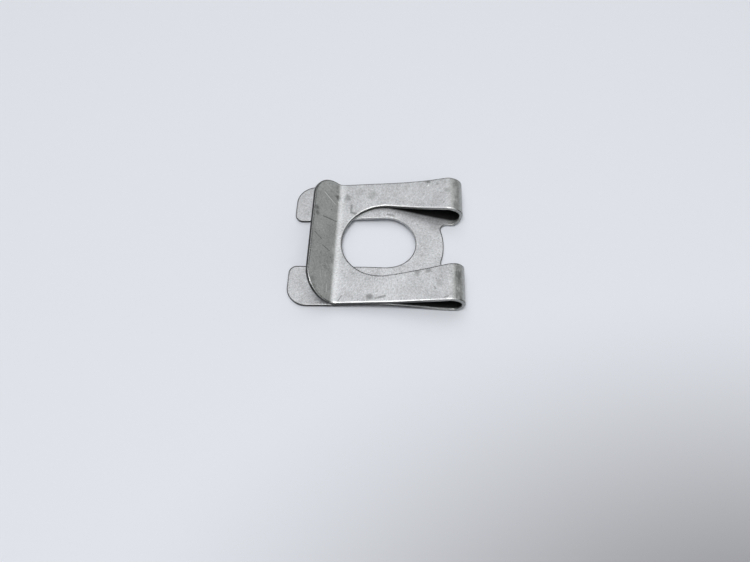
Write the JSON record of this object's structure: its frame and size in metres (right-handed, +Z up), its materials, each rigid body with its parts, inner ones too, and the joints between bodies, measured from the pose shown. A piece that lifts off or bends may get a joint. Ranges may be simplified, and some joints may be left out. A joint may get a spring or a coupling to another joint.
{
  "type": "heat shield clip",
  "caption": "Folded spring-steel clip: a forked leaf slips into a stud's groove, and rolled loops spring a second leaf, with a wide opening and a raised lip, over the stud's head.",
  "frame": {"origin": "centre of the stud's seat: the centre of the slot's round end, halfway through the sheet", "axes": "+X along the clip from the fork's tips to the loops, +Z up from the surface that the clip rests on, +Y across the width; the clip is mirror symmetric about the XZ plane"},
  "size_m": [0.0314, 0.0262, 0.0057],
  "materials": {
    "spring_steel": "satin zinc-coated spring steel strip, light grey, with sheared edges"
  },
  "bodies": {
    "root": {"heat_shield_clip": "spring_steel"}
  },
  "joints": []
}
